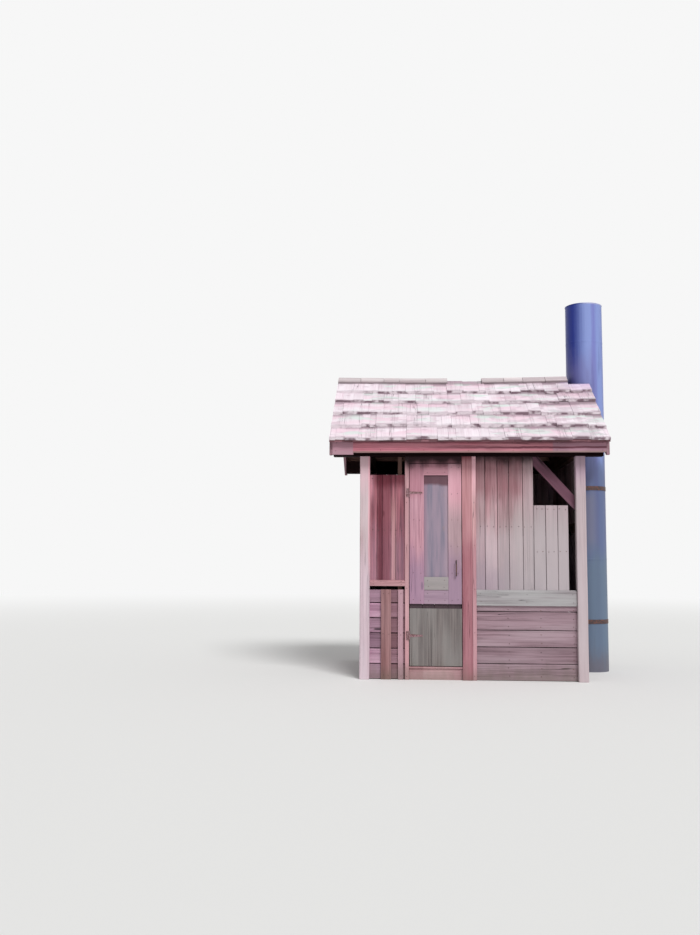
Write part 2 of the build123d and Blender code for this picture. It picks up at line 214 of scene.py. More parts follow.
def combine(*parts):
    return out(add(tree_of(*parts), "ShaderNodeCombineXYZ", parts))


def stretched(vector, *scale):
    """A vector with each of its parts scaled by itself."""
    return out(add(vector.tree, "ShaderNodeVectorMath", (vector, scale), operation="MULTIPLY"))


def speckle(vector, scale=None, detail=2.0, roughness=0.5):
    """Noise from 0 to 1 over a vector, which is scaled first if a scale is given."""
    if scale:
        vector = stretched(vector, *scale)
    inputs = {"Vector": vector, "Scale": 1.0, "Detail": detail, "Roughness": roughness}
    return out(add(vector.tree, "ShaderNodeTexNoise", inputs))


def blend(factor, low, high, blend_type="MIX"):
    """A colour between two others."""
    inputs = {0: factor, 6: low, 7: high}
    settings = {"data_type": "RGBA", "blend_type": blend_type, "clamp_factor": True}
    return out(add(tree_of(factor, low), "ShaderNodeMix", inputs, **settings), 2)


# Effects that several materials share
def wood_effect():
    """Grain, knots, drying cracks and silvering of old timber, along Z of the grain."""
    tree, given, leave = new_tree(
        "old_timber", "ShaderNodeTree", {"Color": "Color", "Float": "Roughness Height"},
        Vector="Grain", Float="Tone Weathering Knots Contrast", Color="Wood Streak Silver"
    )
    grain = given.Grain
    cells = add(tree, "ShaderNodeTexVoronoi", {"Vector": stretched(grain, 8.5, 8.5, 2.4), "Scale": 1.0})
    distance = out(cells, "Distance")
    chosen = parts_of(out(cells, "Color"))[0]
    knot_here = smooth(chosen - (1 - given.Knots), 0.0, 0.01)
    knot = smooth(distance, 0.07, 0.13, 1.0, 0.0) * knot_here
    swirl = smooth(distance, 0.0, 0.38, 1.0, 0.0) * knot_here
    x, y, z = parts_of(grain)
    streak = speckle(combine(x * 85 + swirl * 2.2, y * 85, z * 2.0), None, 3.0, 0.62)
    band = speckle(grain, (24, 24, 0.7), 2.0, 0.6)
    fibre = speckle(grain, (420, 420, 13), 1.0)
    broad = speckle(grain, (7, 7, 1.1))
    line = speckle(grain, (46, 46, 0.8), 0.0) - 0.5
    opened = smooth(speckle(grain, (5, 5, 0.9), 1.0), 0.5, 0.62)
    crack = smooth(line.math("ABSOLUTE"), 0.004, 0.016, 1.0, 0.0) * opened
    color = blend(smooth(streak * 0.55 + band * 0.45, 0.40, 0.60), given.Wood, given.Streak)
    worn = given.Weathering * (smooth(broad, 0.3, 0.7) * 1.1 + 0.45) + (fibre - 0.5) * 0.3
    color = blend(worn, color, given.Silver)
    dark = 1 - crack.math("MAXIMUM", knot) * 0.72
    value = (1 + (given.Tone - 0.5) * given.Contrast) * dark
    color = blend(1.0, color, combine(value, value, value), "MULTIPLY")
    height = streak * 0.5 + fibre * 0.22 - crack * 1.1 + knot * 0.25
    for index, field in enumerate((color, 0.72 + fibre * 0.2, height)):
        feed(leave.inputs[index], field)
    return tree


def range_effect():
    """Another colour over a range of some measure, with uneven edges, such as damp at a foot."""
    tree, given, leave = new_tree(
        "tint_between", "ShaderNodeTree", {"Color": "Color"},
        Color="Color Tint", Vector="Place", Float="Along Low High Spread Strength"
    )
    uneven = speckle(given.Place, (11, 11, 4), 3.0) - 0.5
    half = given.Spread * 0.5
    along = given.Along + uneven * given.Spread
    above = smooth(along, given.Low - half, given.Low + half)
    below = smooth(along, given.High - half, given.High + half, 1.0, 0.0)
    feed(leave.inputs[0], blend(above * below * given.Strength, given.Color, given.Tint))
    return tree


wood_look = wood_effect()
range_look = range_effect()
finishes = {}


def new_material(name):
    """The nodes of a new material, which is kept among the finishes."""
    material = bpy.data.materials.new(name)
    material.use_nodes = True
    finishes[name] = material
    return material.node_tree


def surfaced(tree, color, roughness, height, depth, gloss=0.5, metal=0.0):
    """Joins a material's shader to its colour, its roughness and its fine relief."""
    bump = add(tree, "ShaderNodeBump", {"Strength": 1.0, "Distance": depth, "Height": height})
    inputs = tree.nodes["Principled BSDF"].inputs
    inputs["Specular IOR Level"].default_value = gloss
    feed(inputs["Base Color"], color)
    feed(inputs["Roughness"], roughness)
    feed(inputs["Metallic"], metal)
    feed(inputs["Normal"], out(bump))


def attribute(tree, name, key="Fac"):
    return out(add(tree, "ShaderNodeAttribute", attribute_name=name), key)


def place_of(tree):
    return out(add(tree, "ShaderNodeTexCoord"), "Object")


def worn_wood(tree, wood, streak, silver, weathering, knots, contrast):
    """Old timber along a piece's grain: its colour, roughness and height."""
    values = dict(Wood=wood, Streak=streak, Silver=silver, Weathering=weathering, Knots=knots)
    values.update(Contrast=contrast, Grain=attribute(tree, "grain", "Vector"), Tone=attribute(tree, "tone"))
    look = add(tree, "ShaderNodeGroup", values, node_tree=wood_look)
    return [out(look, index) for index in range(3)]


def tinted(color, *tints):
    """Lays tints on a colour: a shade, the measure it follows, its range, spread and strength.

    A measure and two more numbers fade a tint in from one place to another.
    """
    for hue, measure, low, high, spread, strength, *fade in tints:
        place = place_of(color.tree)
        along = dict(zip("xyz", parts_of(place)))
        if fade:
            strength = smooth(along[fade[0]], *fade[1:]) * strength
        values = dict(Color=color, Tint=hue, Place=place, Along=along[measure], Low=low, High=high)
        values.update(Spread=spread, Strength=strength)
        color = out(add(color.tree, "ShaderNodeGroup", values, node_tree=range_look))
    return color


def timber(name, wood, streak, silver, weathering, knots, contrast, *tints, end=0.55, gloss=0.25):
    """Old timber, darker on its end grain, with any number of tints laid on it."""
    tree = new_material(name)
    color, roughness, height = worn_wood(tree, wood, streak, silver, weathering, knots, contrast)
    dull = [part * 0.45 for part in streak]
    color = blend(attribute(tree, "end") * end, tinted(color, *tints), dull)
    surfaced(tree, color, roughness, height, 0.002, gloss)


# Tints that only some stretches of the timbers show: some are stains, some are painted light and shade
never, always = -99.0, 99.0
notch_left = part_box("ridge_cap")[1].x
cap_foot_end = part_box("ridge_cap")[0].z + 0.045
fascia_foot, fascia_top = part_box("rear_fascia")[0].z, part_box("rear_fascia")[1].z
damp = ((104, 96, 84), "z", never, 0.10, 0.22, 0.5)
# Near-black at the heads of the front walls: painted shade under the eave
painted_eave_shade = ((28, 8, 12), "z", 2.20, always, 0.12, 0.9)
# Near-black at the heads of the door, its header and its trims: painted shade of the beam and fascia
painted_head_shade = ((18, 6, 9), "z", 2.174, always, 0.125, 0.95)
grey_low = ((196, 184, 192), "z", never, 1.5, 0.3, 0.4)
mauve_wash = ((152, 138, 152), "z", never, 1.12, 0.5, 0.6)
pale_right = ((184, 174, 178), "x", 0.62, always, 0.5, 0.6)
post_tints = (
    # Paler pink at the heads of the posts: painted light
    ((226, 186, 196), "z", 1.95, always, 0.3, 0.55),
    pale_right,
    ((176, 146, 168), "z", 2.0, always, 0.2, 0.6, "x", 0.3, 0.6),
    ((224, 208, 222), "z", never, 1.25, 0.5, 0.4, "x", 0.0, -0.5),
    ((240, 174, 186), "x", -1.058, -0.9, 0.01, 0.55, "z", 0.9, 1.3),
)
red_post_tints = (
    # Dark red at the head of the strike post: painted shade under the eave
    ((104, 30, 42), "z", 2.22, always, 0.10, 0.8),
    ((142, 80, 96), "z", never, 1.4, 0.5, 0.5),
    damp,
)
bay_mauve = ((160, 128, 146), "z", never, 1.5, 0.5, 0.35)
bay_dark_board = ((122, 60, 72), "x", -0.916, -0.835, 0.03, 0.6)
# Deep red over the recessed second board of the left bay: painted shade of the deep gap
painted_gap_shade = ((94, 30, 44), "x", -0.962, -0.908, 0.05, 0.75)
bay_pink_edge = ((206, 156, 166), "x", never, -1.036, 0.03, 0.7)
bay_pink = ((222, 160, 174), "x", never, -1.010, 0.05, 0.75, "z", 1.7, 1.95)
bay_pale_streak = ((206, 160, 160), "x", -0.822, -0.775, 0.02, 0.45, "z", 2.0, 1.6)
# Dark red at the head of the first board of the left bay: painted shade under the eave
painted_bay_head_shade = ((88, 24, 38), "z", 1.955, always, 0.12, 0.75, "x", -1.03, -0.95)
left_bay_tints = (
    bay_mauve, bay_dark_board, painted_gap_shade, bay_pink_edge, bay_pink, bay_pale_streak, painted_bay_head_shade,
    painted_eave_shade
)
right_bay_tints = (
    grey_low,
    mauve_wash,
    ((176, 170, 170), "z", never, 1.68, 0.4, 0.55, "x", 0.1, 0.5),
    pale_right,
    ((132, 78, 86), "z", 1.86, always, 0.2, 0.5, "x", 0.66, 0.4),
    painted_eave_shade,
    damp,
)
shaded_slot = ((112, 74, 74), "x", -0.83, always, 0.02, 0.6)
pale_strip = ((192, 154, 166), "x", -0.757, always, 0.004, 0.8)
trim_tints = (
    ((174, 122, 132), "x", never, -0.5, 0.02, 0.4),
    ((166, 108, 124), "z", never, 1.4, 0.3, 0.45, "x", -0.3, -0.1),
    # Paler pink at the head of the right trim: painted light
    ((246, 190, 202), "z", 1.95, always, 0.3, 0.65, "x", -0.3, -0.1),
    (*painted_head_shade, "x", -0.4, -0.6),
    damp,
)
grey_end_right = ((162, 132, 148), "x", 0.80, always, 0.02, 0.7)
# Dark line along the top of the fascia: painted shade under the shakes
fascia_top_shade_paint = ((100, 54, 64), "z", fascia_top - 0.042, always, 0.014, 0.7)
# Dark line along the middle of the fascia: painted shade line
fascia_mid_shade_paint = ((96, 44, 58), "z", fascia_foot + 0.040, fascia_foot + 0.058, 0.016, 0.9, "x", -0.9, 0.5)
fascia_low_line = ((150, 128, 122), "z", never, fascia_foot + 0.014, 0.010, 0.75)
grey_end_left = ((178, 140, 154), "x", never, -1.207, 0.004, 0.85)
fascia_tints = (grey_end_right, fascia_top_shade_paint, fascia_mid_shade_paint, fascia_low_line, grey_end_left)
grey_stile = ((166, 152, 154), "x", -0.30, always, 0.01, 0.6, "z", 1.9, 1.7)
pink_stile = ((226, 172, 184), "x", -0.232, always, 0.02, 0.6, "z", 1.55, 1.85)
stile_head = ((172, 114, 128), "z", 1.84, always, 0.1, 0.6, "x", -0.45, -0.55)
low_stile = ((150, 124, 150), "z", never, 1.22, 0.4, 0.7)
top_rail_red = ((206, 142, 156), "z", 1.9, always, 0.02, 0.7)
mid_rail_grey = ((152, 152, 148), "z", 0.896, 1.1, 0.004, 0.75)
low_rail_mauve = ((150, 130, 152), "z", never, 0.896, 0.004, 0.5)
door_gap_shade = ((74, 62, 70), "z", 0.66, 0.80, 0.02, 0.9, "y", -0.944, -0.950)
# Darker foot of the ridge cap boards: painted shade under the cap
painted_cap_shade = ((150, 130, 136), "z", never, cap_foot_end, 0.03, 0.4)

timber("silver_post", (204, 174, 178), (168, 132, 138), (216, 202, 206), 0.45, 0.2, 0.3, *post_tints)
timber("red_post", (194, 136, 142), (156, 98, 104), (210, 166, 172), 0.3, 0.3, 0.35, *red_post_tints)
timber("frame_timber", (104, 74, 66), (70, 46, 40), (122, 98, 92), 0.25, 0.3, 0.4)
# The beams are near-black: painted shade under the eave
timber("beam_painted_shade", (22, 6, 8), (12, 3, 4), (34, 14, 15), 0.25, 0.2, 0.4, gloss=0.1)
timber("plum_brace", (106, 60, 78), (74, 36, 52), (140, 112, 126), 0.3, 0.2, 0.35)
timber("red_brown_boards", (152, 90, 100), (86, 42, 52), (178, 130, 142), 0.3, 0.3, 0.7, *left_bay_tints)
timber("greyed_boards", (170, 124, 132), (112, 74, 78), (184, 162, 166), 0.45, 0.3, 0.55, *right_bay_tints)
timber(
    "side_boards", (166, 128, 136), (110, 76, 84), (184, 164, 170), 0.45, 0.3, 0.5, grey_low, mauve_wash, damp
)
timber("skirt_boards", (158, 120, 142), (112, 76, 96), (176, 148, 162), 0.4, 0.3, 1.1, shaded_slot, damp)
timber("far_skirt_boards", (150, 122, 132), (108, 82, 90), (172, 152, 160), 0.4, 0.3, 0.45, damp)
timber("cover_boards", (146, 104, 104), (104, 66, 66), (172, 138, 142), 0.3, 0.3, 0.5, pale_strip, damp)
timber("trim_boards", (198, 150, 154), (158, 110, 114), (216, 184, 188), 0.4, 0.2, 0.35, *trim_tints)
timber("header_board", (194, 128, 142), (148, 88, 100), (204, 150, 162), 0.3, 0.2, 0.35, painted_head_shade)
timber("band_boards", (166, 158, 162), (126, 112, 118), (180, 180, 180), 0.5, 0.2, 0.35)
timber("rose_fascia", (208, 120, 138), (146, 72, 88), (214, 158, 168), 0.35, 0.15, 0.35, *fascia_tints)
timber("barge_boards", (150, 112, 122), (106, 72, 82), (168, 138, 146), 0.4, 0.2, 0.3)
timber("roof_boards", (112, 82, 72), (76, 52, 44), (126, 102, 94), 0.3, 0.35, 0.5)
timber("starter_shakes", (146, 98, 106), (92, 54, 60), (168, 128, 136), 0.25, 0.1, 0.7, end=0.2)
timber("floor_boards_worn", (130, 106, 90), (94, 72, 60), (150, 132, 120), 0.4, 0.3, 0.4)
timber(
    "door_timber", (188, 136, 150), (138, 86, 102), (204, 164, 176), 0.35, 0.4, 0.35,
    grey_stile, pink_stile, stile_head, low_stile, painted_head_shade, damp
)
timber(
    "door_rail_timber", (178, 144, 156), (132, 96, 110), (192, 170, 182), 0.4, 0.3, 0.4,
    top_rail_red, mid_rail_grey, low_rail_mauve, painted_head_shade
)
timber("kick_board_wood", (128, 118, 116), (92, 82, 82), (144, 140, 138), 0.5, 0.2, 0.45, damp)
timber("door_planks_wood", (126, 92, 84), (88, 60, 54), (144, 116, 110), 0.35, 0.3, 0.45, door_gap_shade)
timber("ridge_cap_wood", (212, 198, 202), (172, 154, 160), (220, 212, 212), 0.45, 0.1, 0.35, painted_cap_shade)


def split_shakes():
    """Silver shakes with a painted highlight towards the butt and painted shade along each course line, grey
    and mossy patches and dark end grain.
    """
    tree = new_material("silver_shakes")
    place, rise = place_of(tree), attribute(tree, "rise")
    color, roughness, height = worn_wood(
        tree, (230, 212, 222), (204, 178, 190), (240, 230, 237), 0.6, 0.03, 0.16
    )
    patch = speckle(place, (2.1, 5, 5))
    mossy = speckle(place, (2.6, 7.7, 7.7), 3.0)
    color = blend(smooth(patch, 0.46, 0.62) * 0.6, color, (228, 190, 206))
    color = blend(smooth(mossy, 0.53, 0.64) * 0.7, color, (206, 224, 216))
    # Paler towards the butt of each shake: painted highlight
    color = blend(smooth(rise, 0.0, 0.5, 0.55, 0.0), color, (242, 234, 240))
    toward_right = smooth(parts_of(place)[0], 0.0, 1.0)
    # Darker near the top of each course, under the next butt, more so to the right: painted shade of the
    # course line
    course_shade = smooth(rise + (patch - 0.5) * 0.2 + toward_right * 0.06, 0.54, 0.74)
    color = blend(course_shade * (toward_right * 0.2 + 0.7), color, (146, 124, 135))
    # A soft grey band just above each butt: painted shade of the course line
    butt_line_shade = smooth(rise + (mossy - 0.5) * 0.06, 0.0, 0.15, 1.0, 0.0) * smooth(patch, 0.30, 0.56, 0.4, 1.0)
    color = blend(butt_line_shade * (toward_right * 0.35 + 0.6), color, (168, 150, 159))
    rough = speckle(place, (7, 12, 12), 3.0) + toward_right * 0.12
    color = blend(smooth(rough, 0.56, 0.66) * 0.3, color, (166, 140, 154))
    # Lilac beside the stack: painted shade
    color = tinted(color, ((206, 186, 232), "x", notch_left - 0.02, always, 0.2, 0.45, "z", 3.0, 3.2))
    butt = speckle(place, (9, 9, 9))
    dull = blend(smooth(butt - toward_right * 0.1, 0.34, 0.54), (130, 108, 118), (224, 212, 218))
    color = blend(attribute(tree, "end"), color, dull)
    surfaced(tree, color, roughness, height, 0.003, 0.25)


def painted_sheet():
    """A sheet with faded grey paint, stained at the sides and in deep shade at its head."""
    tree = new_material("faded_grey_paint")
    grain = attribute(tree, "grain", "Vector")
    wood, _, height = worn_wood(tree, (150, 118, 116), (112, 84, 84), (166, 150, 154), 0.4, 0.1, 0.0)
    blotch = speckle(grain, (11, 11, 4), 4.0, 0.6)
    rubbed = smooth(blotch + height * 0.25, 0.72, 0.84)
    run = speckle(grain, (16, 16, 1.5), 3.0)
    paint = blend(smooth(run, 0.35, 0.65), (120, 114, 132), (150, 132, 148))
    (low, _, _), (high, _, top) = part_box("door_panel")
    left_stain = ((150, 122, 140), "x", never, low + 0.03, 0.03, 0.8)
    right_stain = ((172, 148, 162), "x", high - 0.03, always, 0.04, 0.5)
    color = blend(rubbed * 0.7, tinted(paint, left_stain, right_stain), wood)
    color = tinted(color, ((86, 40, 52), "z", top - 0.10, always, 0.04, 0.85))
    surfaced(tree, color, 0.55 + rubbed * 0.3, height * 0.4 - rubbed * 0.3, 0.0012)


def stack_paint():
    """Blue-black paint, painted paler on its lit side and darker on its shaded side, with painted highlights
    and shade and runs below the joints.
    """
    tree = new_material("blue_stack_paint")
    place, around = place_of(tree), attribute(tree, "around")
    runs = speckle(combine(around * 60, 0.0, parts_of(place)[2] * 1.1), None, 3.0, 0.6)
    cloud = speckle(place, (5, 5, 1.6), 3.0)
    turn = around + (runs - 0.5) * 0.12 + (cloud - 0.5) * 0.06
    # Paler where the light falls and dark blue on the shaded side: painted light and shade
    lit_side = smooth(turn, -0.27, 0.0) * smooth(turn, 0.26, 0.48, 1.0, 0.3)
    lit_side = lit_side.math("MAXIMUM", smooth(turn.math("ABSOLUTE"), 0.50, 0.75, 0.0, 0.5))
    color = blend(lit_side, (18, 40, 130), (131, 147, 203))
    # A purple streak between two pale ones: painted reflection
    reflection_dip = smooth(turn, 0.04, 0.11) * smooth(turn, 0.12, 0.20, 1.0, 0.0)
    color = blend(reflection_dip * 0.75, color, (114, 116, 182))
    grime = smooth(runs * cloud, 0.28, 0.42)
    color = blend(grime * 0.35, color, (66, 76, 126))
    (left_edge, _, _), (right_edge, _, top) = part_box("vent_stack")
    middle = (left_edge + right_edge) / 2
    color = tinted(
        color,
        # Darker purple where the stack meets the roof: painted shade
        ((116, 110, 160), "z", 2.8, 3.45, 0.4, 0.5, "x", middle + 0.15, middle),
        # Darker grey-blue below the roof: painted shade
        ((78, 88, 114), "z", never, 2.35, 0.4, 0.75),
        # Darker purple just under the roof, on the left: painted shade
        ((62, 54, 84), "z", 2.05, 2.6, 0.2, 0.5, "x", middle + 0.12, middle),
        # Paler on the left, low down beside the house: painted light
        ((118, 118, 138), "z", 1.35, 1.95, 0.2, 0.7, "x", middle + 0.12, middle),
        ((102, 124, 128), "z", never, 1.3, 0.4, 0.45),
        ((104, 92, 96), "z", never, 0.18, 0.35, 0.6),
        # Pale top rim on the right half: painted highlight
        ((206, 208, 234), "z", top - 0.012, always, 0.01, 0.6, "x", middle - 0.08, middle)
    )
    height = cloud * 0.6 + speckle(place, (60, 60, 20)) * 0.1
    surfaced(tree, color, 0.34 + lit_side * 0.14, height, 0.003, 0.3)


def old_iron(name, plain, rusty):
    """Iron, bare or painted, with rust where the surface has lifted."""
    tree = new_material(name)
    patch = speckle(place_of(tree), (70, 70, 70), 4.0, 0.6)
    rust = smooth(patch, 0.46, 0.62)
    metal = smooth(rust, 0.0, 1.0, 0.3, 0.05)
    surfaced(tree, blend(rust, plain, rusty), 0.5 + rust * 0.35, patch, 0.0008, metal=metal)


split_shakes()
painted_sheet()
stack_paint()
old_iron("rusty_iron", (70, 58, 60), (116, 76, 66))
old_iron("painted_iron", (150, 116, 122), (106, 70, 70))


# Shape trees
def random_field(low, high, seed):
    return out(add(seed.tree, "FunctionNodeRandomValue", {2: low, 3: high, 8: seed}), 1)


def shared_out(width, group, left, right):
    """Where each of a row of pieces of uneven width starts and ends, so that they fill the row."""
    node = add(width.tree, "GeometryNodeAccumulateField", (width, group))
    return [left + out(node, key) / out(node, "Total") * (right - left) for key in ("Trailing", "Leading")]


def stored(geometry, name, value, data_type="FLOAT"):
    inputs = {"Geometry": geometry, "Name": name}
    node = add(
        geometry.tree, "GeometryNodeStoreNamedAttribute", inputs, data_type=data_type, domain="POINT"
    )
    feed(next(slot for slot in node.inputs if slot.name == "Value" and slot.enabled), value)
    return out(node)


def named(tree, name):
    return out(add(tree, "GeometryNodeInputNamedAttribute", {"Name": name}, data_type="FLOAT"))


def moved(geometry, **places):
    return out(add(geometry.tree, "GeometryNodeSetPosition", {"Geometry": geometry, **places}))


def place_in(tree):
    """X, Y and Z of each point."""
    return parts_of(out(add(tree, "GeometryNodeInputPosition")))


def cube(tree, columns, rows):
    inputs = {"Size": (1.0, 1.0, 1.0), "Vertices X": columns, "Vertices Z": rows}
    return out(add(tree, "GeometryNodeMeshCube", inputs))


def point_cloud(number):
    return out(add(number.tree, "GeometryNodePoints", {"Count": number}))


def copied(points, piece, **inputs):
    """A copy of a piece on each point, as plain geometry."""
    inputs = {"Points": points, "Instance": piece, **inputs}
    copies = out(add(points.tree, "GeometryNodeInstanceOnPoints", inputs))
    return out(add(points.tree, "GeometryNodeRealizeInstances", {"Geometry": copies}))


def grained(geometry, x, y, z, tone):
    """Keeps each point's place in the grain, moved on so that no two boards match."""
    grain = combine(x + tone * 31.7, y + tone * 17.3, z + tone * 53.9)
    return stored(geometry, "grain", grain, "FLOAT_VECTOR")


def finished(leave, geometry, material):
    """The end of each shape tree: plain geometry with its material."""
    painted = add(geometry.tree, "GeometryNodeSetMaterial", {"Geometry": geometry, "Material": material})
    feed(leave.inputs[0], out(painted))
    return geometry.tree


def board_tree():
    """Boards side by side: X across them, Y into their thickness and Z along them."""
    tree, given, leave = new_tree(
        "board_row", "GeometryNodeTree", {"Geometry": "Boards"}, Int="Count Seed", Material="Material",
        Float="Left Right Low High Thickness Gap Edge Bow Fall Palest Darkest"
    )
    width = random_field(0.82, 1.18, given.Seed + 1)
    start, end = shared_out(width, 0, given.Left, given.Right)
    nominal = (given.Right - given.Left) / given.Count
    half = nominal * 0.5
    length = given.High - given.Low

    x, y, z = place_in(tree)
    edge = x.math("ABSOLUTE").math("GREATER_THAN", 0.3)
    across = x.math("SIGN") * (half - (1 - edge) * given.Edge * 1.2) + half
    deep = y.math("SIGN") * (given.Thickness * 0.5 - edge * given.Edge) + given.Thickness * 0.5
    board = moved(cube(tree, 4, 9), Position=combine(across, deep, (z + 0.5) * length))

    tone = random_field(given.Darkest, given.Palest, given.Seed)
    points = stored(point_cloud(given.Count), "tone", tone)
    points = moved(points, Position=combine(start + given.Gap * 0.5, 0.0, given.Low))
    boards = copied(points, board, Scale=combine((end - start - given.Gap) / nominal, 1.0, 1.0))

    x, y, z = place_in(tree)
    own = named(tree, "tone")
    boards = grained(boards, x, y, z, own)
    wave = speckle(combine(own * 43, 0.0, z * 1.1), None, 1.0) - 0.5
    sway = speckle(combine(own * 43, 9.0, z * 2.3), None, 1.0) - 0.5
    drop = (z - given.Low) / length * x.math("ABSOLUTE") * given.Fall
    offset = combine(sway * given.Gap * 0.8, wave * given.Bow, drop * -1)
    return finished(leave, moved(boards, Offset=offset), given.Material)


def shake_tree():
    """Courses of split shakes: X along the ridge, Y up from the deck and Z up the slope."""
    tree, given, leave = new_tree(
        "shake_courses", "GeometryNodeTree", {"Geometry": "Shakes"}, Int="Count Courses Seed",
        Material="Material", Float="Left Right Exposure Overlap Bed Butt Gap Slip Top Notch Foot"
    )
    seed = given.Seed
    index = out(add(tree, "GeometryNodeInputIndex"))
    course = (index / given.Count + 0.001).math("FLOOR")
    gap = random_field(0.3, 1.7, seed + 5) * given.Gap
    start, end = shared_out(random_field(0.45, 1.55, seed), course, given.Left, given.Right)
    foot = course * given.Exposure
    natural_top = foot + given.Exposure + given.Overlap
    cut = natural_top.math("GREATER_THAN", given.Foot)
    snap = 0.085

    def snapped(edge):
        near = (edge - given.Notch).math("ABSOLUTE").math("LESS_THAN", snap) * cut
        return edge + (given.Notch - edge) * near

    start, end = snapped(start), snapped(end)
    beside = start.math("GREATER_THAN", given.Notch - 0.001)
    limit = given.Top + (given.Foot - given.Top) * beside
    slip = random_field(0.0, 1.0, seed + 2).math("POWER", 5.0)
    rough = given.Slip * smooth(start, 0.2, 1.1, 1.0, 2.0)
    butt = foot + (random_field(-1.0, 1.0, seed + 3) * 0.5 - slip) * rough
    butt = butt.math("MAXIMUM", -0.012)
    top = natural_top.math("MINIMUM", limit)
    wide = end - start - gap
    kept = wide.math("GREATER_THAN", 0.02) * (top - butt).math("GREATER_THAN", 0.04)

    points = point_cloud(given.Count * given.Courses)
    points = stored(points, "tone", random_field(0.0, 1.0, seed + 4))
    points = stored(points, "butt", butt)
    points = moved(points, Position=combine(start + gap * 0.5, 0.0, butt))
    corner = moved(cube(tree, 5, 5), Offset=(0.5, 0.5, 0.5))
    shakes = copied(points, corner, Selection=kept, Scale=combine(wide, 1.0, top - butt))

    x, y, z = place_in(tree)
    own = named(tree, "tone")
    shakes = grained(shakes, x, y, z, own)
    up = z - named(tree, "butt")
    shakes = stored(shakes, "rise", up / (given.Exposure + given.Overlap))
    taper = given.Butt / given.Exposure
    above = given.Bed + given.Butt - up * taper
    below = given.Bed + 0.001 - up * taper * 0.5
    split = speckle(combine(x * 55, own * 40, z * 1.5), None, 1.0) - 0.5
    curl = (own * 9.7).math("FRACT") - 0.35
    uneven = speckle(combine(x, y, z), None, 0.0) - 0.5
    lifted = above + split * 0.006 + curl * 0.008 + uneven * 0.01
    height = below + (lifted - below) * y
    tooth = speckle(combine(x * 90, own * 31, y * 2.0), None, 1.0) - 0.5
    tooth = tooth * smooth(up, 0.0, 0.1, 0.014, 0.0)
    worn = y * smooth(up, 0.0, 0.03, 0.012, 0.0)
    shakes = moved(shakes, Position=combine(x, height, z + tooth + worn))
    return finished(leave, shakes, given.Material)


def nail_tree():
    """Rows of nail heads: X across, Z up, with the heads facing -Y."""
    tree, given, leave = new_tree(
        "nail_rows", "GeometryNodeTree", {"Geometry": "Nails"}, Int="Columns Rows Seed", Material="Material",
        Float="Left Right Low High Radius Wander"
    )
    index = out(add(tree, "GeometryNodeInputIndex"))
    row = (index / given.Columns + 0.001).math("FLOOR")
    column = index - row * given.Columns
    step = (given.Right - given.Left) / given.Columns
    rise = (given.High - given.Low) / (given.Rows - 1)
    stray_x = random_field(-1.0, 1.0, given.Seed) * given.Wander
    stray_z = random_field(-1.0, 1.0, given.Seed + 1) * given.Wander
    x = given.Left + (column + 0.5) * step + stray_x
    z = given.Low + row * rise + stray_z
    points = moved(point_cloud(given.Columns * given.Rows), Position=combine(x, 0.0, z))
    inputs = {"Vertices": 8, "Radius": given.Radius, "Depth": nail_head_depth}
    head = out(add(tree, "GeometryNodeMeshCylinder", inputs))
    quarter_turn = Euler((pi / 2, 0, 0))
    head = out(add(tree, "GeometryNodeTransform", {"Geometry": head, "Rotation": quarter_turn}))
    return finished(leave, copied(points, head), given.Material)


board_shape = board_tree()
shake_shape = shake_tree()
nail_shape = nail_tree()


def shown(name, data):
    """A new object in the scene."""
    item = bpy.data.objects.new(name, data)
    bpy.context.scene.collection.objects.link(item)
    return item


def grown(tree, values):
    """Runs a shape tree once and keeps the result as a plain mesh."""
    holder = shown("holder", bpy.data.meshes.new("holder"))
    modifier = holder.modifiers.new("shape", "NODES")
    modifier.node_group = tree
    sockets = {item.name: item.identifier for item in tree.interface.items_tree if item.in_out == "INPUT"}
    for label, value in values.items():
        modifier[sockets[label]] = value
    graph = bpy.context.evaluated_depsgraph_get()
    mesh = bpy.data.meshes.new_from_object(holder.evaluated_get(graph), depsgraph=graph)
    holder.modifiers.remove(modifier)
    bpy.data.objects.remove(holder)
    return mesh


class Shape:
    """Points, faces and their measures gathered from several meshes into one piece."""

    def __init__(self):
        self.points = []
        self.faces = []
        self.grain = []
        self.measures = {"tone": [], "rise": []}

    def take(self, mesh, placed):
        """Adds a mesh, with each of its points put where a rule places it."""
        first = len(self.points)
        self.points += [placed(vertex.co) for vertex in mesh.vertices]
        self.faces += [[first + i for i in face.vertices] for face in mesh.polygons]
        if "grain" in mesh.attributes:
            self.grain += [Vector(item.vector) for item in mesh.attributes["grain"].data]
        for name, values in self.measures.items():
            if name in mesh.attributes:
                values += [item.value for item in mesh.attributes[name].data]
        bpy.data.meshes.remove(mesh)

    def piece(self, name, finish, body, slot, *nodes, outward=False):
        """One piece of all that was gathered."""
        mesh = bpy.data.meshes.new(name)
        mesh.from_pydata([tuple(point) for point in self.points], [], self.faces)
        if self.grain:
            grain = mesh.attributes.new("grain", "FLOAT_VECTOR", "POINT")
            grain.data.foreach_set("vector", [part for vector in self.grain for part in vector])
        for measure, values in self.measures.items():
            if values:
                mesh.attributes.new(measure, "FLOAT", "POINT").data.foreach_set("value", values)
        if outward:
            form = bmesh.new()
            form.from_mesh(mesh)
            bmesh.ops.recalc_face_normals(form, faces=form.faces)
            form.to_mesh(mesh)
            form.free()
        return placed_piece(name, mesh, finish, body, slot, *nodes)


def mark_ends(mesh):
    """Marks the faces that cut straight across the grain."""
    levels = [item.vector.z for item in mesh.attributes["grain"].data]
    ends = []
    for face in mesh.polygons:
        here = [levels[i] for i in face.vertices]
        ends.append(1.0 if max(here) - min(here) < 0.0004 else 0.0)
    mesh.attributes.new("end", "FLOAT", "FACE").data.foreach_set("value", ends)


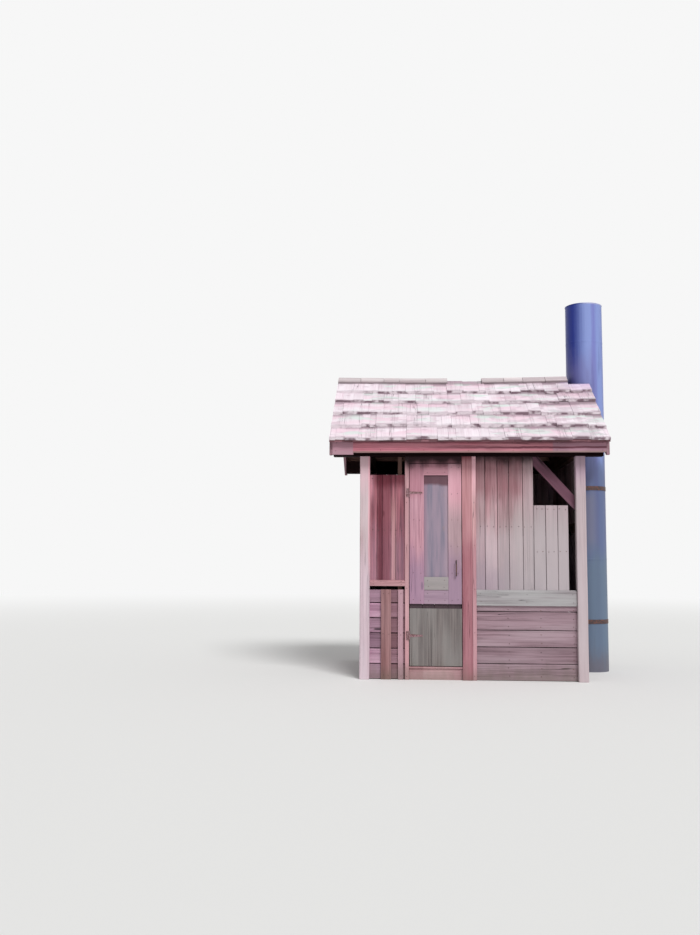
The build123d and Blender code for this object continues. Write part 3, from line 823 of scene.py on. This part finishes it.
def placed_piece(name, mesh, finish, body, slot, *nodes):
    """A finished piece on its body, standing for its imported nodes."""
    if "grain" in mesh.attributes:
        mark_ends(mesh)
    mesh.materials.append(finishes[finish])
    piece = shown(name, mesh)
    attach(piece, body)
    if nodes:
        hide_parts(*nodes)
    return piece


def refinished(finish, *nodes):
    """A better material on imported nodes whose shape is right."""
    for node in nodes:
        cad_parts[node].material_slots[0].material = finishes[finish]


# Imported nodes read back
def merged(node):
    """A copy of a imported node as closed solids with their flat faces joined."""
    form = bmesh.new()
    form.from_mesh(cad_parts[node].data)
    bmesh.ops.remove_doubles(form, verts=form.verts, dist=0.00001)
    bmesh.ops.dissolve_limit(form, angle_limit=radians(0.5), verts=form.verts, edges=form.edges)
    return form


def islands(form):
    """The separate solids of a form, each as a list of its corner points."""
    waiting = set(form.verts)
    found = []
    for vertex in form.verts:
        if vertex not in waiting:
            continue
        waiting.remove(vertex)
        group = [vertex]
        for corner in group:
            for edge in corner.link_edges:
                other = edge.other_vert(corner)
                if other in waiting:
                    waiting.remove(other)
                    group.append(other)
        found.append(group)
    return found


def joined(group, links):
    """The edges or faces that join a solid's corner points, each once and always in one order."""
    return list(dict.fromkeys(item for vertex in group for item in getattr(vertex, links)))


def span(points):
    """The lowest and the highest corner of some points."""
    return [Vector([pick(point[axis] for point in points) for axis in range(3)]) for pick in (min, max)]


def solids(node):
    """The lowest and highest corner of each solid of a node, from left to right."""
    form = merged(node)
    boxes = [span([vertex.co for vertex in group]) for group in islands(form)]
    form.free()
    return sorted(boxes, key=lambda box: box[0].x)


def steps_of(node, axis):
    """The places along an axis where a node's outline turns, from low to high."""
    return sorted({round(vertex.co[axis], 4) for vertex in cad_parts[node].data.vertices})


# Timbers
def dressed(node, finish, slot, body="house", edge=0.003, wander=0.0016, tones=(0.2, 0.8)):
    """A packed timber with worn edges and a slightly uneven face along its grain."""
    draw = Random(node)
    form = merged(node)
    facts = []
    for group in islands(form):
        longest = max(joined(group, "link_edges"), key=lambda item: round(item.calc_length(), 4))
        along = (longest.verts[1].co - longest.verts[0].co).normalized()
        if max(along, key=abs) < 0:
            along = -along
        facts.append((along, Vector(group[0].co)))
    bmesh.ops.bevel(
        form, geom=form.edges[:], offset=edge, segments=2, profile=0.6, affect="EDGES", clamp_overlap=True
    )
    grain_layer = form.verts.layers.float_vector.new("grain")
    tone_layer = form.verts.layers.float.new("tone")
    for group in islands(form):
        along, _ = min(facts, key=lambda fact: min((fact[1] - vertex.co).length for vertex in group))
        across = along.cross(up if abs(along.z) < 0.9 else right).normalized()
        other = along.cross(across)
        places = [vertex.co.dot(along) for vertex in group]
        low, high = min(places), max(places)
        pieces = max(1, int((high - low) / timber_stretch))
        geometry = group + joined(group, "link_edges") + joined(group, "link_faces")
        for index in range(1, pieces):
            at = along * (low + (high - low) * (index + draw.uniform(-0.2, 0.2)) / pieces)
            result = bmesh.ops.bisect_plane(form, geom=geometry, dist=0.0001, plane_co=at, plane_no=along)
            geometry = result["geom"]
        tone = draw.uniform(*tones)
        shift = Vector([draw.uniform(0, 40) for _ in range(3)])
        for vertex in [item for item in geometry if isinstance(item, bmesh.types.BMVert)]:
            place = vertex.co
            vertex[grain_layer] = Vector((place.dot(across), place.dot(other), place.dot(along))) + shift
            vertex[tone_layer] = tone
            stray = noise.noise_vector(place * 2.3 + shift) * wander
            vertex.co = place + stray - along * stray.dot(along)
    mesh = bpy.data.meshes.new(node + "_timber")
    form.to_mesh(mesh)
    form.free()
    return placed_piece(node + "_timber", mesh, finish, body, slot, node)


def facing(across, depth, along):
    """A turn that puts X, Y and Z of a row of boards on three directions."""
    return Matrix((across, depth, along)).transposed()


right, back, up = Vector((1, 0, 0)), Vector((0, 1, 0)), Vector((0, 0, 1))
front_upright = facing(right, back, up)
rear_upright = facing(-right, -back, up)
left_upright = facing(-back, right, up)
right_upright = facing(back, -right, up)
front_level = facing(-up, back, right)
rear_level = facing(-up, -back, -right)
left_level = facing(-up, right, -back)
right_level = facing(-up, -right, back)
floor_level = facing(-back, -up, right)


def along_turn(box, turn):
    """The lowest and highest corner of a box in the directions of a row of boards."""
    return span([turn.transposed() @ Vector(corner) for corner in box])


def row_of_boards(shape, box, turn, board_width, finish, seed, **extra):
    """Fills a box with boards and adds them to a shape."""
    low, high = along_turn(box, turn)
    values = dict(
        Count=max(1, round((high.x - low.x) / board_width)), Left=low.x, Right=high.x, Low=low.z, High=high.z,
        Thickness=high.y - low.y, Gap=0.005, Edge=0.0022, Bow=0.006, Palest=1.0, Seed=seed,
        Material=finishes[finish]
    )
    shift = Vector((0, low.y, 0))
    shape.take(grown(board_shape, values | extra), lambda point: turn @ (point + shift))


def board_wall(node, turn, board_width, finish, slot, seed, body="house", boxes=None, **extra):
    """A node that is a row of boards, made board by board."""
    shape = Shape()
    for index, box in enumerate(boxes or solids(node)):
        row_of_boards(shape, box, turn, board_width, finish, seed + 10 * index, **extra)
    return shape.piece(node + "_rows", finish, body, slot, node)


# Walls
def right_bay_boxes():
    """The right bay in two boxes: beside the vent, and under it."""
    left, sill_left, edge = steps_of("front_wall_right", 0)
    low, sill, top = steps_of("front_wall_right", 2)
    (_, near, _), (_, far, _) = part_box("front_wall_right")
    tall = (Vector((left, near, low)), Vector((sill_left, far, top)))
    short = (Vector((sill_left, near, low)), Vector((edge, far, sill)))
    return [tall, short]


def gable_wall(node, turn, seed):
    """A wall whose boards are cut to the slope of the roof on both sides of its middle."""
    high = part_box(node)[1]
    fall = (high.z - steps_of(node, 2)[1]) / high.y
    board_wall(node, turn, wall_board_width, "side_boards", "weathered_boards", seed, Fall=fall)


def uneven_boards(node, boards, turn, finish, slot, seed, gap, lining=0.0):
    """Boards of the left bay, each with its own width, tone and depth, over a thin lining."""
    low, high = along_turn(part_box(node), turn)
    width = high.x - low.x
    shape = Shape()

    def lay(first, last, number, **extra):
        box = (turn @ Vector(first), turn @ Vector(last))
        row_of_boards(shape, box, turn, wall_board_width, finish, seed + number, **extra)

    for index, (start, end, tone, depth) in enumerate(boards):
        first = (low.x + width * start, low.y + depth, low.z)
        last = (low.x + width * end, high.y - lining, high.z)
        lay(first, last, index, Count=1, Gap=gap, Palest=tone, Darkest=tone)
    if lining:
        lay((low.x, high.y - lining, low.z), high, 40, Gap=0.001, Palest=0.1, Bow=0.0)
    shape.piece(node + "_rows", finish, "house", slot, node)


def walls():
    boards, skirt = "weathered_boards", "skirt_boards"
    width = wall_board_width
    uneven_boards("front_wall_left", left_bay_boards, front_upright, "red_brown_boards", boards, 3, 0.003)
    uneven_boards("front_skirt_left", left_skirt_boards, front_level, skirt, skirt, 23, 0.011, 0.006)
    board_wall("front_wall_right", front_upright, width, "greyed_boards", boards, 5, boxes=right_bay_boxes())
    board_wall("left_wall", left_upright, width, "side_boards", boards, 7)
    board_wall("right_wall", right_upright, width, "side_boards", boards, 11)
    board_wall("rear_wall", rear_upright, width, "side_boards", boards, 13, Gap=0.002)
    gable_wall("left_gable", left_upright, 17)
    gable_wall("right_gable", right_upright, 19)
    far_skirts = (
        ("front_skirt_right", front_level, 29), ("left_skirt", left_level, 31),
        ("right_skirt", right_level, 37), ("rear_skirt", rear_level, 41)
    )
    for node, turn, seed in far_skirts:
        board_wall(node, turn, skirt_board_width, "far_skirt_boards", skirt, seed, Gap=0.007)
    floor = ("floor_boards_worn", "floor_wood")
    board_wall("floor_boards", floor_level, floor_board_width, *floor, 43, Bow=0.002)


def frame_timbers():
    plain = "end_plates rafters ridge_board wall_girts floor_joists bay_stud hinge_jamb door_stops"
    for node in plain.split():
        dressed(node, "frame_timber", "frame_wood")
    dressed("front_beam", "beam_painted_shade", "frame_wood")
    dressed("rear_beam", "beam_painted_shade", "frame_wood")
    dressed("knee_brace", "plum_brace", "frame_wood")
    dressed("corner_posts", "silver_post", "post_wood", edge=0.006, wander=0.003)
    dressed("strike_post", "red_post", "red_post_wood", edge=0.005, wander=0.002)
    dressed("door_trims", "trim_boards", "trim_wood", tones=(0.7, 1.0))
    trims = {"front_rail_left": "trim_boards", "door_header": "header_board", "threshold": "trim_boards"}
    trims.update(bay_cover_boards="cover_boards", wall_bands="band_boards")
    for node, finish in trims.items():
        dressed(node, finish, "trim_wood")
    edges = {"front_fascia": "rose_fascia", "rear_fascia": "rose_fascia"}
    edges.update(front_barge_boards="barge_boards", rear_barge_boards="barge_boards")
    for node, finish in edges.items():
        dressed(node, finish, "fascia_wood")


# Roof
deck_low, deck_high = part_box("front_deck")
eave_reach = -deck_low.y
eave_top = deck_low.z + deck_thickness * slope_stretch
roof_left, roof_right = deck_low.x, deck_high.x
roof_middle = (roof_left + roof_right) / 2
roof_half = (roof_right - roof_left) / 2
slope_length = (eave_reach + shake_drip) * slope_stretch
exposure = (slope_length - cap_width) / len(course_shares)


def roof_place(x, along, height, side):
    """A place on a slope: along the ridge, up from the drip edge, and over the deck."""
    drop = ridge_sag * (1 - ((x - roof_middle) / roof_half) ** 2)
    rise = roof_rise - drop / eave_reach
    run = 1 / sqrt(1 + rise * rise)
    along /= run * slope_stretch
    reach = eave_reach + shake_drip - (along - height * rise) * run
    z = eave_top - shake_drip * rise + (along * rise + height) * run
    if reach < 0:
        z += reach * rise
        reach = 0
    return Vector((x, side * reach, z))


def notch_foot(side):
    """How far up the slope the notch for the stack starts."""
    points = [vertex.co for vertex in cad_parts[{-1: "front_deck", 1: "rear_deck"}[side]].data.vertices]
    return slope_length - min(abs(point.y) for point in points if point.x > notch_left + 0.02) * slope_stretch


def roof_boards(shape, side, height, **values):
    """Boards that lie along a slope, at a depth below a height over the deck."""
    settings = dict(Gap=0.004, Edge=0.002, Bow=0.003, Palest=1.0)
    mesh = grown(board_shape, settings | values)
    shape.take(mesh, lambda point: roof_place(point.z, point.x, height - point.y, side))


def deck(side, node, seed):
    """A slope's boards: a field up to the ridge, and a strip that ends at the notch."""
    shape = Shape()
    start = shake_drip * slope_stretch
    field = (slope_length, roof_left, notch_left)
    strip = (notch_foot(side), notch_left + 0.003, roof_right)
    for end, low, high in (field, strip):
        boards = max(1, round((end - start) / deck_board_width))
        roof_boards(
            shape, side, -0.0005, Count=boards, Left=start, Right=end, Low=low, High=high,
            Thickness=deck_thickness, Seed=seed, Material=finishes["roof_boards"]
        )
    shape.piece(node + "_boards", "roof_boards", "house", "deck_wood", node, outward=True)


def as_laid(along):
    """Moves a place on even courses to where the courses were laid."""
    laid, rest = 0, along
    for share in course_shares:
        step = min(rest, exposure)
        laid += step * share
        rest -= step
    return laid + rest


def before_laying(laid):
    """The place on even courses that is laid at this length up the slope."""
    along = 0
    for share in course_shares:
        step = min(laid, exposure * share)
        along += step / share
        laid -= step
    return along + laid


def shakes(side, node, seed):
    """Five courses over a darker starter course, cut round the stack."""
    shared = dict(Left=roof_left, Right=roof_right, Exposure=exposure, Gap=0.0014, Top=slope_length)
    shared.update(Notch=notch_left, Foot=before_laying(notch_foot(side)))
    starter = dict(Count=21, Courses=1, Overlap=0.02, Bed=0.001, Butt=0.021, Slip=0.004, Seed=seed)
    courses = dict(Count=22, Courses=len(course_shares), Overlap=0.12, Bed=shake_bed, Butt=shake_butt)
    courses.update(Slip=0.040, Seed=seed + 20)

    def layer(name, finish, values, *nodes):
        shape = Shape()
        mesh = grown(shake_shape, shared | values | {"Material": finishes[finish]})
        shape.take(mesh, lambda point: roof_place(point.x, as_laid(point.z), point.y, side))
        shape.piece(name, finish, "house", "shake_wood", *nodes, outward=True)

    layer(node + "_split", "silver_shakes", courses, node)
    layer(node + "_starter", "starter_shakes", starter)


def ridge_caps():
    """Two boards leaning together for each length of cap, with a joint in each board."""
    shape = Shape()
    draw = Random("ridge caps")
    for low, high in solids("ridge_cap"):
        for side in (-1, 1):
            boards = max(1, ceil((high.x - low.x) / cap_board_length))
            cuts = [low.x + (high.x - low.x) * i / boards for i in range(boards + 1)]
            cuts = [cuts[0]] + [cut + draw.uniform(-0.05, 0.05) for cut in cuts[1:-1]] + [cuts[-1]]
            for start, end in zip(cuts, cuts[1:]):
                height = shake_bed + cap_thickness + draw.uniform(-0.002, 0.003)
                roof_boards(
                    shape, side, height, Count=1, Left=slope_length - cap_width, Right=slope_length + 0.02,
                    Low=start + 0.002, High=end - 0.002, Thickness=cap_thickness, Edge=0.003, Gap=0.002,
                    Seed=draw.randrange(1000), Material=finishes["ridge_cap_wood"]
                )
    caps = shape.piece("ridge_cap_boards", "ridge_cap_wood", "house", "shake_wood", "ridge_cap", outward=True)
    # Faces that look down are darkened like end grain: painted shade along the foot of the cap
    for face, item in zip(caps.data.polygons, caps.data.attributes["end"].data):
        item.value = max(item.value, 0.4 * (face.normal.z < 0.3))


def roof():
    deck(-1, "front_deck", 51)
    deck(1, "rear_deck", 53)
    shakes(-1, "front_shakes", 61)
    shakes(1, "rear_shakes", 67)
    ridge_caps()


# Door
def door():
    planks = ("door_planks_wood", "door_wood")
    board_wall("door_planks", rear_upright, plank_width, *planks, 71, body="door", Bow=0.001, Gap=0.003)
    dressed("door_stiles", "door_timber", "door_wood", body="door", wander=0.001)
    dressed("door_rails", "door_rail_timber", "door_wood", body="door", wander=0.001)
    dressed("door_panel", "faded_grey_paint", "door_grey_panel", body="door", edge=0.001, wander=0.0005)
    dressed("door_kick_board", "kick_board_wood", "door_grey_panel", body="door", wander=0.001)
    refinished("painted_iron", "hinge_straps", "hinge_plates")
    refinished("rusty_iron", "door_pull")


# Vent stack
def stack_profile(radius, height):
    """The section of the stack: outside with its joints, rolled bead, and inside."""
    points = [(radius, 0.0)]
    level = stack_joint_spacing
    lapped = radius + stack_joint_lap
    while level < height - stack_top_length:
        for reach, above in ((radius, -0.012), (lapped, -0.010), (lapped, 0.010), (radius, 0.012)):
            points.append((reach, level + above))
        level += stack_joint_spacing
    points.append((radius, height - 2 * stack_bead))
    for step in range(stack_bead_steps + 1):
        angle = -pi / 2 + pi * step / stack_bead_steps
        points.append((radius + stack_bead * cos(angle), height - stack_bead + stack_bead * sin(angle)))
    inner = radius - stack_wall
    return points + [(inner, height - stack_bead), (inner, 0.0)]


def vent_stack():
    """The pipe, slightly dented, with how far round it each point lies for its painted light and shade and
    its runs.
    """
    low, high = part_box("vent_stack")
    centre = (low + high) / 2
    profile = stack_profile((high.x - low.x) / 2 - stack_bead, high.z)
    points, faces, around = [], [], []
    for turn in range(stack_sides):
        angle = 2 * pi * turn / stack_sides
        for reach, level in profile:
            dent = noise.noise(Vector((cos(angle) * 1.2, sin(angle) * 1.2, level * 1.7))) * 0.0015
            distance = reach + dent
            points.append((centre.x + distance * sin(angle), centre.y - distance * cos(angle), level))
            around.append(min(angle, 2 * pi - angle) / pi * (1 if angle < pi else -1))
    size = len(profile)
    for turn in range(stack_sides):
        for step in range(size):
            here, there = turn * size, (turn + 1) % stack_sides * size
            follow = (step + 1) % size
            faces.append((here + step, there + step, there + follow, here + follow))
    mesh = bpy.data.meshes.new("vent_stack_pipe")
    mesh.from_pydata(points, [], faces)
    mesh.attributes.new("around", "FLOAT", "POINT").data.foreach_set("value", around)
    mesh.shade_smooth()
    mesh.set_sharp_from_angle(angle=radians(20))
    placed_piece("vent_stack_pipe", mesh, "blue_stack_paint", "house", "stack_paint", "vent_stack")
    refinished("rusty_iron", "stack_straps")


# Nails
def nail_field(shape, box, turn, columns, rows, seed, inset=0.04, radius=nail_radius, wander=0.006):
    """Nail heads over a box, on the face that its turn looks out of."""
    low, high = along_turn(box, turn)
    values = dict(
        Columns=columns, Rows=rows, Left=low.x, Right=high.x, Low=low.z + inset, High=high.z - inset,
        Radius=radius, Wander=wander, Seed=seed, Material=finishes["rusty_iron"]
    )
    shift = Vector((0, low.y - nail_proud, 0))
    shape.take(grown(nail_shape, values), lambda point: turn @ (point + shift))


def nails():
    """Nails of the wall boards and of the skirt boards."""
    heads = Shape()
    upright = {"left_wall": left_upright, "right_wall": right_upright, "rear_wall": rear_upright}
    upright["front_wall_left"] = front_upright
    fields = [(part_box(node), turn, seed) for seed, (node, turn) in enumerate(upright.items(), 81)]
    fields += [(box, front_upright, seed) for seed, box in enumerate(right_bay_boxes(), 91)]
    for (low, high), turn, seed in fields:
        across = max(high.x - low.x, high.y - low.y)
        nail_field(heads, (low, high), turn, round(across / wall_board_width) * 2, 3, seed)
    level = {"left_skirt": left_level, "right_skirt": right_level, "rear_skirt": rear_level}
    level["front_skirt_right"] = front_level
    for seed, (node, turn) in enumerate(level.items(), 101):
        low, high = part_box(node)
        nail_field(heads, (low, high), turn, round((high.z - low.z) / skirt_board_width) * 2, 4, seed)
    heads.piece("nail_heads", "rusty_iron", "house", "hinge_iron")


def face_turn(low, high):
    """The turn that looks at the outer face of a thin board, with Z along the board."""
    size, middle = high - low, (low + high) / 2
    if size.x > size.y:
        level, upright = (front_level, front_upright) if middle.y < 0 else (rear_level, rear_upright)
    else:
        level, upright = (left_level, left_upright) if middle.x < 0 else (right_level, right_upright)
    return upright if size.z > max(size.x, size.y) else level


def fixings():
    """Nails of the trims and fascias, bolts of the stack's straps, and screws of the hinges."""
    heads, screws = Shape(), Shape()
    seeds = count(121)
    small = dict(inset=0.014, radius=trim_nail_radius, wander=0.001)
    trims = "front_fascia rear_fascia wall_bands door_trims bay_cover_boards front_rail_left"
    for node in trims.split():
        for box in solids(node):
            _, breadth, length = sorted(box[1] - box[0])
            rows = max(2, round(length / nail_spacing_on_trims) + 1)
            columns = 1 + (breadth > 0.06)
            nail_field(heads, box, face_turn(*box), columns, rows, next(seeds), radius=trim_nail_radius)
    for low, high in solids("stack_straps"):
        for near in (low.y, high.y - strap_end_length):
            far = near + strap_end_length
            box = (Vector((low.x, near, low.z)), Vector((low.x + 0.004, far, high.z)))
            nail_field(heads, box, right_upright, 1, 2, next(seeds), 0.012, 0.005)
    for low, high in solids("hinge_plates"):
        box = (Vector((low.x, high.y - 0.003, low.z)), Vector((high.x - 0.012, high.y, high.z)))
        nail_field(heads, box, front_upright, 1, 2, next(seeds), **small)
    heads.piece("trim_nails", "rusty_iron", "house", "hinge_iron")
    for low, high in solids("hinge_straps"):
        box = (Vector((low.x + 0.02, high.y - 0.003, low.z)), Vector((high.x, high.y, high.z)))
        nail_field(screws, box, front_level, 1, 3, next(seeds), **small)
    for low, high in solids("door_stiles") + solids("door_rails"):
        turn, rows = (front_upright, 6) if high.z - low.z > high.x - low.x else (front_level, 2)
        nail_field(screws, (low, high), turn, 2, rows, next(seeds), radius=trim_nail_radius)
    screws.piece("door_screws", "rusty_iron", "door", "hinge_iron")


# Light, floor and camera
def floor_material():
    """Pale by the house and white like the backdrop far from it."""
    tree = new_material("pale_floor")
    x, y, _ = parts_of(place_of(tree))
    reach = (x * x + y * y).math("SQRT")
    shader = tree.nodes["Principled BSDF"]
    shader.inputs["Base Color"].default_value = (0.80, 0.80, 0.79, 1)
    shader.inputs["Roughness"].default_value = 0.9
    shader.inputs["Specular IOR Level"].default_value = 0.1
    white = add(tree, "ShaderNodeEmission", {"Color": (255, 255, 255), "Strength": backdrop_white})
    fade = smooth(reach, floor_fade_start, floor_fade_end)
    mix = add(tree, "ShaderNodeMixShader", (fade, out(shader), out(white)))
    feed(tree.nodes["Material Output"].inputs["Surface"], out(mix))


def studio():
    angles = [2 * pi * i / floor_sides for i in range(floor_sides)]
    mesh = bpy.data.meshes.new("studio_floor")
    points = [(floor_radius * cos(angle), floor_radius * sin(angle), 0) for angle in angles]
    mesh.from_pydata(points, [], [tuple(range(floor_sides))])
    floor_material()
    mesh.materials.append(finishes["pale_floor"])
    floor = shown("studio_floor", mesh)

    world = bpy.data.worlds.new("studio")
    bpy.context.scene.world = world
    world.use_nodes = True
    tree = world.node_tree
    path = add(tree, "ShaderNodeLightPath")
    seen = out(path, "Is Camera Ray").math("MAXIMUM", out(path, "Is Glossy Ray"))
    background = tree.nodes["Background"]
    background.inputs["Color"].default_value = (1, 1, 1, 1)
    feed(background.inputs["Strength"], seen * (backdrop_white - sky_strength) + sky_strength)

    sun = bpy.data.lights.new("key", "SUN")
    sun.energy = key_strength
    sun.angle = key_softness
    flat = cos(key_height)
    toward = Vector((sin(key_from_right) * flat, -cos(key_from_right) * flat, sin(key_height)))
    shown("key", sun).rotation_euler = toward.to_track_quat("Z", "Y").to_euler()


def camera():
    data = bpy.data.cameras.new("camera")
    data.lens = camera_lens
    data.sensor_width = sensor_width
    data.clip_end = 500
    holder = shown("camera", data)
    aim = Matrix.Rotation(camera_turn_left, 4, "Z") @ Matrix.Rotation(pi / 2 + camera_tilt_up, 4, "X")
    roll = Matrix.Rotation(camera_roll, 4, "Z")
    holder.matrix_world = Matrix.Translation(Vector(camera_place)) @ aim @ roll
    bpy.context.scene.camera = holder


camera()
studio()
frame_timbers()
walls()
roof()
door()
vent_stack()
nails()
fixings()
bpy.context.scene.view_settings.view_transform = "Standard"
